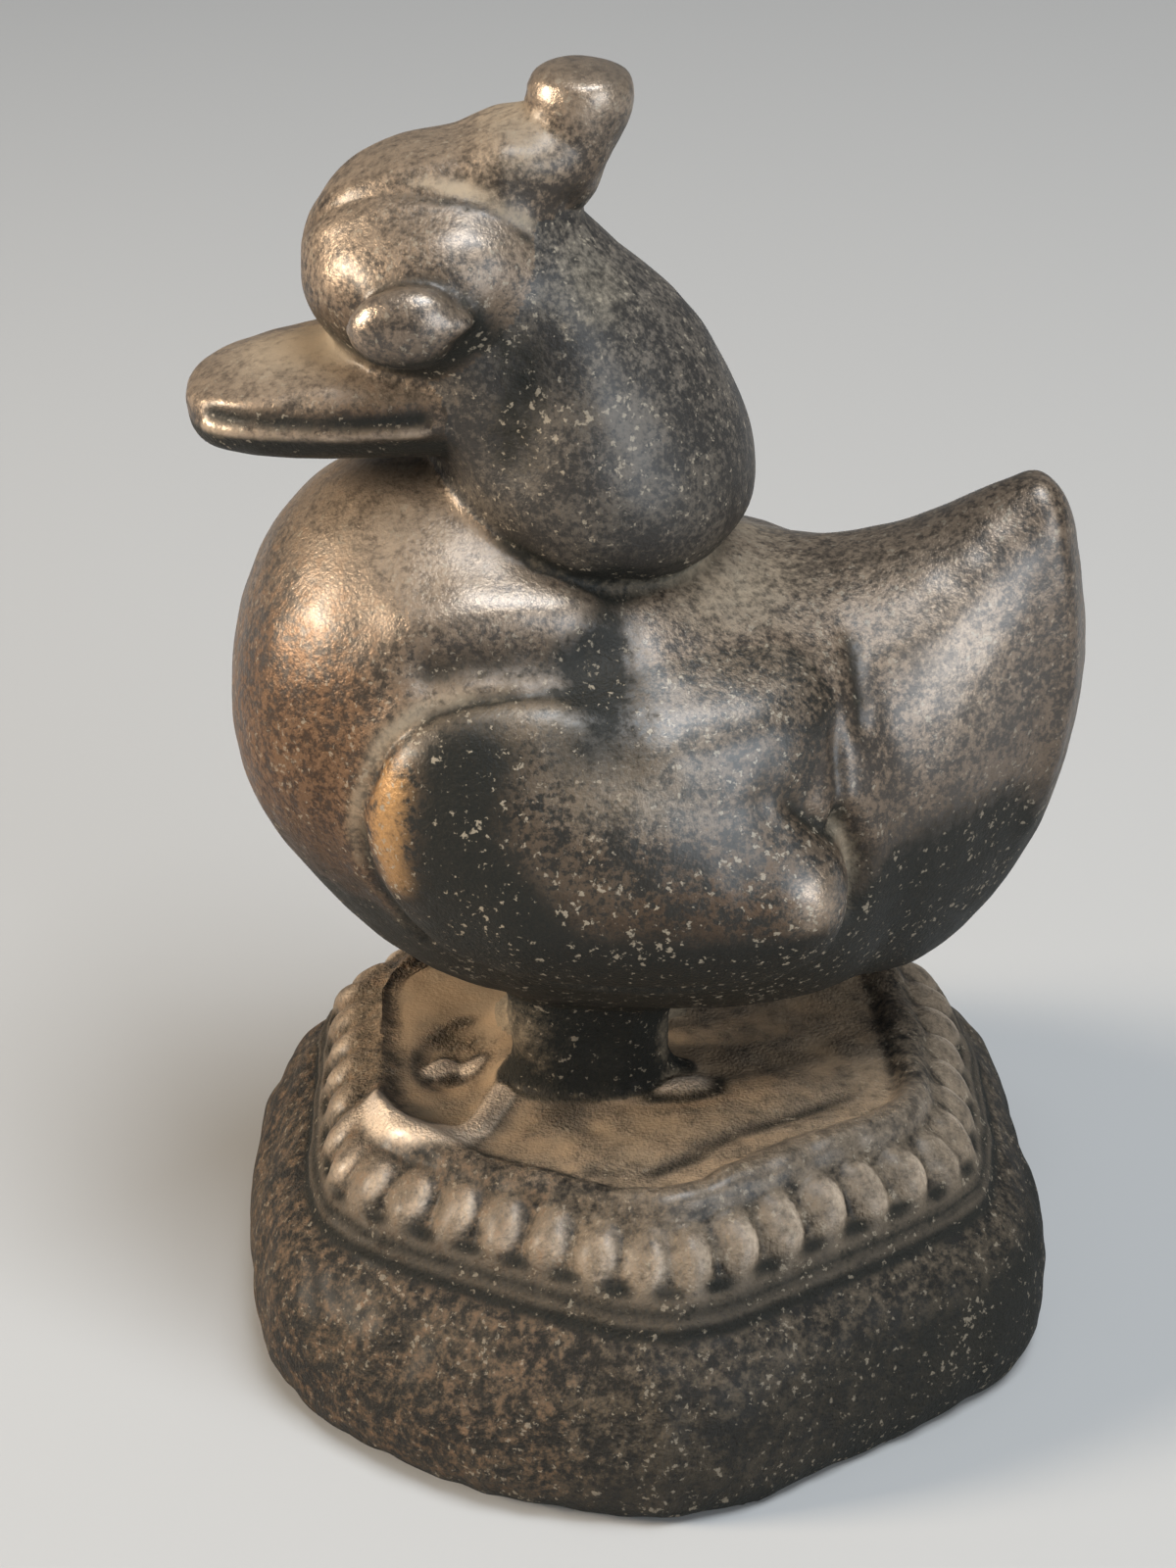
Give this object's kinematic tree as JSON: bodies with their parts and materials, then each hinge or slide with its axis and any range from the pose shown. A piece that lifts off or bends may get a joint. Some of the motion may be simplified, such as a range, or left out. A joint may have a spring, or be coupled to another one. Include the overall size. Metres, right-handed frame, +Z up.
{
  "type": "bird-shaped balance weight",
  "caption": "Cast bronze balance weight: a stylised duck with crest, folded wings and upright tail on a six-sided beaded base",
  "frame": {"origin": "middle of the base's underside", "axes": "+Z up; the bird faces -X and its left side faces -Y; two corners of the base lie on the Y axis"},
  "size_m": [0.0445, 0.0458, 0.0675],
  "materials": {
    "dark_bronze": "dark brown patina, semi-gloss",
    "worn_bronze": "brown patina rubbed to copper on the high places",
    "dusty_bronze": "rough cast skin with tan dust in the hollows"
  },
  "bodies": {
    "root": {"base_block": "dusty_bronze", "rim_welt": "dusty_bronze", "grains_front_left": "worn_bronze", "grains_front_right": "worn_bronze", "grains_right": "worn_bronze", "grains_back_right": "worn_bronze", "grains_back_left": "worn_bronze", "grains_left": "worn_bronze", "upper_thread": "dusty_bronze", "lower_thread": "dusty_bronze", "left_foot": "dusty_bronze", "right_foot": "dusty_bronze", "left_leg": "dark_bronze", "right_leg": "dark_bronze", "body": "worn_bronze", "left_wing": "dark_bronze", "right_wing": "dark_bronze", "tail": "dark_bronze", "neck": "dark_bronze", "head": "worn_bronze", "left_eye": "worn_bronze", "right_eye": "worn_bronze", "upper_bill": "worn_bronze", "lower_bill": "worn_bronze", "crest_strap": "worn_bronze", "crest_knob": "worn_bronze"}
  },
  "joints": []
}
